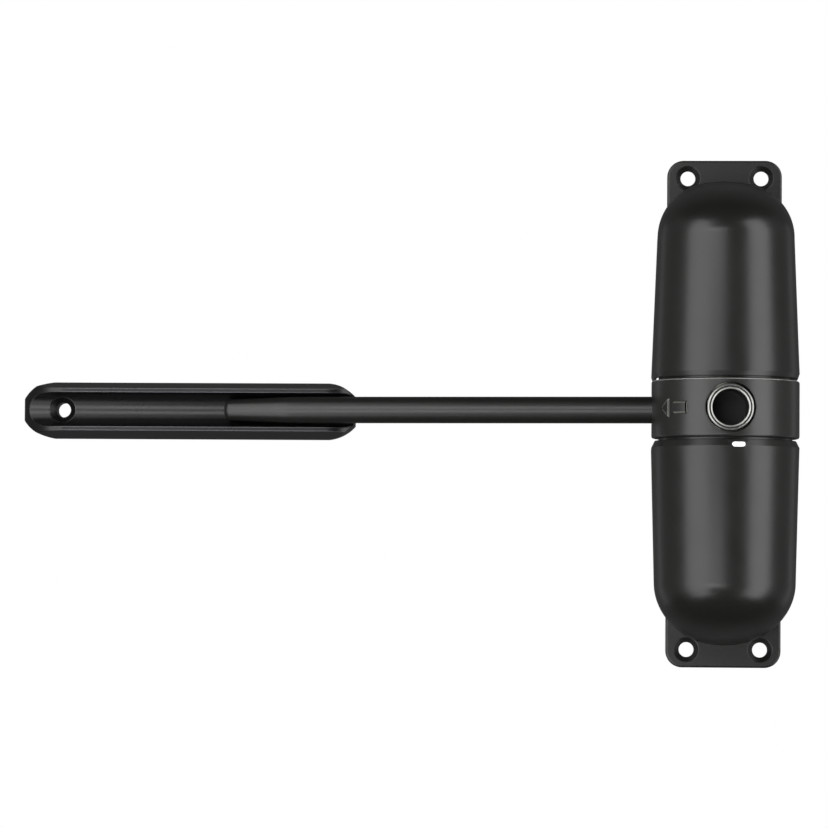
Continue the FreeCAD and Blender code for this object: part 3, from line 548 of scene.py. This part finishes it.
class CLOSER_OT_shell_screws(bpy.types.Operator):
    """Model one countersunk screw with a cross recess and thread, and set four of them behind the plate"""
    bl_idname = "closer.shell_screws"
    bl_label = "Shell screws"

    def execute(self, context):
        s = context.scene.closer_sizes
        sink = s.screw_head - s.screw_radius
        screw = settle(start("shell_screw_1", bpy.ops.mesh.primitive_cylinder_add, vertices=32,
                             radius=s.screw_radius, depth=s.screw_length, location=(0, 0, s.screw_length / 2)))
        # head: the end face grows outwards to the countersink's foot
        edit(screw, "polygons", lambda p: p.center.z < NEAR,
             lambda: bpy.ops.transform.translate(value=(0, 0, sink)),
             lambda: bpy.ops.mesh.extrude_region_move(TRANSFORM_OT_translate={"value": (0, 0, -sink)}),
             lambda: bpy.ops.transform.resize(value=(s.screw_head / s.screw_radius,) * 2 + (1,)))
        # thread: rings drawn in between the head and the point
        turns = int((s.screw_length - 2 * sink) / s.screw_pitch)
        for turn in range(turns):
            for share in (0.25, 0.5, 0.75):
                height = sink + (turn + share) * s.screw_pitch
                edit(screw, "edges", lambda e: False,
                     lambda: bpy.ops.mesh.select_all(action="SELECT"),
                     lambda: bpy.ops.mesh.bisect(plane_co=(0, 0, height), plane_no=(0, 0, 1)))
            valley = sink + (turn + 0.5) * s.screw_pitch
            edit(screw, "vertices", lambda v: abs(v.co.z - valley) < NEAR,
                 lambda: bpy.ops.transform.resize(value=(THREAD_VALLEY, THREAD_VALLEY, 1)))
        # point: the last stretch tapers
        edit(screw, "polygons", lambda p: p.center.z > s.screw_length - NEAR,
             lambda: bpy.ops.transform.resize(value=(POINT_TAPER, POINT_TAPER, 1)))
        for turn in (0, 90):
            slot = settle(start("slot", bpy.ops.mesh.primitive_cube_add, size=1.0,
                                rotation=(0, 0, math.radians(turn)),
                                scale=(s.screw_head * SLOT_SPAN, s.screw_slot, sink * SLOT_DEPTH)))
            edit(slot, "polygons", lambda p: p.normal.z > 0.9,
                 lambda: bpy.ops.transform.resize(value=(SLOT_TAPER, SLOT_TAPER, 1)))
            cut(screw, slot)
        finish(screw, bpy.data.materials["zinc_plated_steel"])
        low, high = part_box("shell_screws")
        places = [(x, z) for x in (low.x + s.screw_head, high.x - s.screw_head)
                  for z in (low.z + s.screw_head, high.z - s.screw_head)]
        for number, (x, z) in enumerate(places, 1):
            piece = screw if number == len(places) else screw.copy()
            if piece is not screw:
                piece.data = screw.data.copy()
                context.scene.collection.objects.link(piece)
            # z of the screw runs from its head, behind the plate, to its point in front of it
            piece.matrix_world = (Matrix.Translation((x, 0, z)) @ Matrix.Rotation(math.radians(90), 4, "X")
                                  @ Matrix.Rotation(math.radians(SCREW_TURN * number), 4, "Z"))
            settle(piece, 30)
            piece.name = piece.data.name = "shell_screw_%d" % number
            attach(piece, "housing")
        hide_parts("shell_screws")
        return {"FINISHED"}


# ---- stage ----------------------------------------------------------------------------------------
def look_from(azimuth, elevation):
    """Unit vector from the object towards a viewer; azimuth 0 stands on the -y side."""
    a, e = math.radians(azimuth), math.radians(elevation)
    return Vector((math.sin(a) * math.cos(e), -math.cos(a) * math.cos(e), math.sin(e)))


def softbox(name, place, target, width, height, watts):
    """A rectangular lamp that faces a point."""
    data = bpy.data.lights.new(name, "AREA")
    data.shape, data.size, data.size_y, data.energy = "RECTANGLE", width, height, watts
    lamp = bpy.data.objects.new(name, data)
    bpy.context.scene.collection.objects.link(lamp)
    lamp.visible_camera = False
    lamp.location = place
    lamp.rotation_euler = (Vector(target) - Vector(place)).to_track_quat("-Z", "Y").to_euler()
    return lamp


def background_seen(tree):
    """1 for rays that may see the white background: the camera's, mirrors' and glass's."""
    path = node(tree, "ShaderNodeLightPath").outputs
    seen = path["Is Camera Ray"]
    for kind in ("Is Glossy Ray", "Is Transmission Ray"):
        seen = node(tree, "ShaderNodeMath", {"operation": "MAXIMUM"}, {0: seen, 1: path[kind]}).outputs[0]
    return seen


# name, brightness, and the low and high corner of each card, in metres
FLAGS = (
    ("flag_front", 0.03, (-1.2, -1.52, -0.84), (1.2, -1.5, 1.2)),
    ("flag_left", 0.2, (-1.22, -1.5, -0.84), (-1.2, 0.6, 1.2)),
    ("flag_right", 0.2, (1.2, -1.5, -0.84), (1.22, 0.6, 1.2)),
    ("flag_back", 0.1, (-1.2, 0.6, -0.84), (1.2, 0.62, 1.2)),
    ("flag_low", 0.02, (-1.2, -1.5, -0.86), (1.2, 0.6, -0.84)),
    ("flag_high", 0.02, (-1.2, -1.5, 1.2), (1.2, 0.6, 1.22)),
)


class CLOSER_OT_stage(bpy.types.Operator):
    """Build the floor, the lamps and the camera"""
    bl_idname = "closer.stage"
    bl_label = "Stage"

    def execute(self, context):
        scene = context.scene
        scene.view_settings.view_transform = "Standard"
        self.world(scene)
        self.floor()
        self.flags()
        self.lamps()
        self.camera(scene)
        return {"FINISHED"}

    def world(self, scene):
        """Soft fill for matt surfaces; white to the camera, to mirrors and through glass."""
        world = bpy.data.worlds.new("studio")
        world.use_nodes = True
        tree = world.node_tree
        tree.nodes.clear()
        level = spread(tree, background_seen(tree), 0.5, 1.0)
        sky = node(tree, "ShaderNodeBackground", {"Color": (1, 1, 1, 1)}, {"Strength": level})
        node(tree, "ShaderNodeOutputWorld", links={"Surface": sky.outputs["Background"]})
        scene.world = world

    def floor(self):
        """Pale floor that keeps the object's shadow and meets the white background."""
        floor = start("floor", bpy.ops.mesh.primitive_plane_add, size=6.0, location=(0, 0, cad_low.z - 0.8))
        material, tree = blank("pale_floor")
        matt = node(tree, "ShaderNodeBsdfDiffuse", {"Color": linear("#f4f4f2")})
        glow = node(tree, "ShaderNodeEmission", {"Color": (1, 1, 1, 1)}, {"Strength": background_seen(tree)})
        both = node(tree, "ShaderNodeAddShader", links={0: matt.outputs[0], 1: glow.outputs[0]})
        node(tree, "ShaderNodeOutputMaterial", links={"Surface": both.outputs[0]})
        finish(floor, material)

    def flags(self):
        """Dark cards that only reflections see: they keep the glossy black black, as in a product studio."""
        for name, level, low, high in FLAGS:
            middle, size = [(a + b) / 2 for a, b in zip(low, high)], [b - a for a, b in zip(low, high)]
            card = start(name, bpy.ops.mesh.primitive_cube_add, size=1.0, location=middle, scale=size)
            material, tree = blank(name + "_card")
            grey = node(tree, "ShaderNodeEmission", {"Color": (1, 1, 1, 1), "Strength": level})
            node(tree, "ShaderNodeOutputMaterial", links={"Surface": grey.outputs[0]})
            finish(card, material)
            card.visible_camera = card.visible_diffuse = False
            card.visible_shadow = card.visible_transmission = False

    def lamps(self):
        """Two tall strips beside the viewer, two boxes that light the arm, and two dim boxes behind."""
        body = Vector((0, -0.045, 0))
        for name, azimuth, watts in (("strip_left", -48, 6.8), ("strip_right", 57, 7.6)):
            softbox(name, body + look_from(azimuth, 0) * 0.6, body, 0.42, 1.6, watts)
        for name, height in (("arm_box_high", 0.24), ("arm_box_low", -0.18)):
            softbox(name, (-0.2, -0.7, height), (-0.12, 0, 0), 0.34, 0.22, 1.1)
        for name, azimuth in (("back_box_left", -138), ("back_box_right", 138)):
            softbox(name, body + look_from(azimuth, -5) * 0.9, body, 0.4, 0.9, 0.6)

    def camera(self, scene):
        data = bpy.data.cameras.new("camera")
        camera = bpy.data.objects.new("camera", data)
        scene.collection.objects.link(camera)
        azimuth, elevation, roll, distance = 3.19, -2.53, 0.40, 1.2
        target = Vector((-0.09355, -0.012, -0.00101))
        back = look_from(azimuth, elevation)
        view_width = 250.2216 * MM
        data.sensor_width = 36.0
        data.lens = distance / view_width * data.sensor_width
        camera.location = target + back * distance
        turn = (-back).to_track_quat("-Z", "Y").to_matrix().to_4x4()
        camera.matrix_world = Matrix.Translation(camera.location) @ turn @ Matrix.Rotation(math.radians(roll), 4, "Z")
        scene.camera = camera


class CLOSER_PT_panel(bpy.types.Panel):
    """Sidebar panel that lists the steps"""
    bl_label = "Door closer"
    bl_space_type = "VIEW_3D"
    bl_region_type = "UI"
    bl_category = "Door closer"

    def draw(self, context):
        for step in STEPS:
            self.layout.operator(step.bl_idname)


STEPS = (CLOSER_OT_finish_nodes, CLOSER_OT_sockets, CLOSER_OT_drum, CLOSER_OT_shell_screws,
         CLOSER_OT_stage)
CLASSES = (CloserSizes, CloserColours, *STEPS, CLOSER_PT_panel)


def register():
    """Makes the classes and their settings known."""
    for one in CLASSES:
        bpy.utils.register_class(one)
    bpy.types.Scene.closer_sizes = bpy.props.PointerProperty(type=CloserSizes)
    bpy.types.Scene.closer_colours = bpy.props.PointerProperty(type=CloserColours)


def unregister():
    """Takes the classes and their settings away again."""
    del bpy.types.Scene.closer_colours
    del bpy.types.Scene.closer_sizes
    for one in reversed(CLASSES):
        bpy.utils.unregister_class(one)


def main():
    """Builds the whole closer and its stage."""
    register()
    for step in STEPS:
        module, name = step.bl_idname.split(".")
        getattr(getattr(bpy.ops, module), name)()


if __name__ == "__main__":
    main()
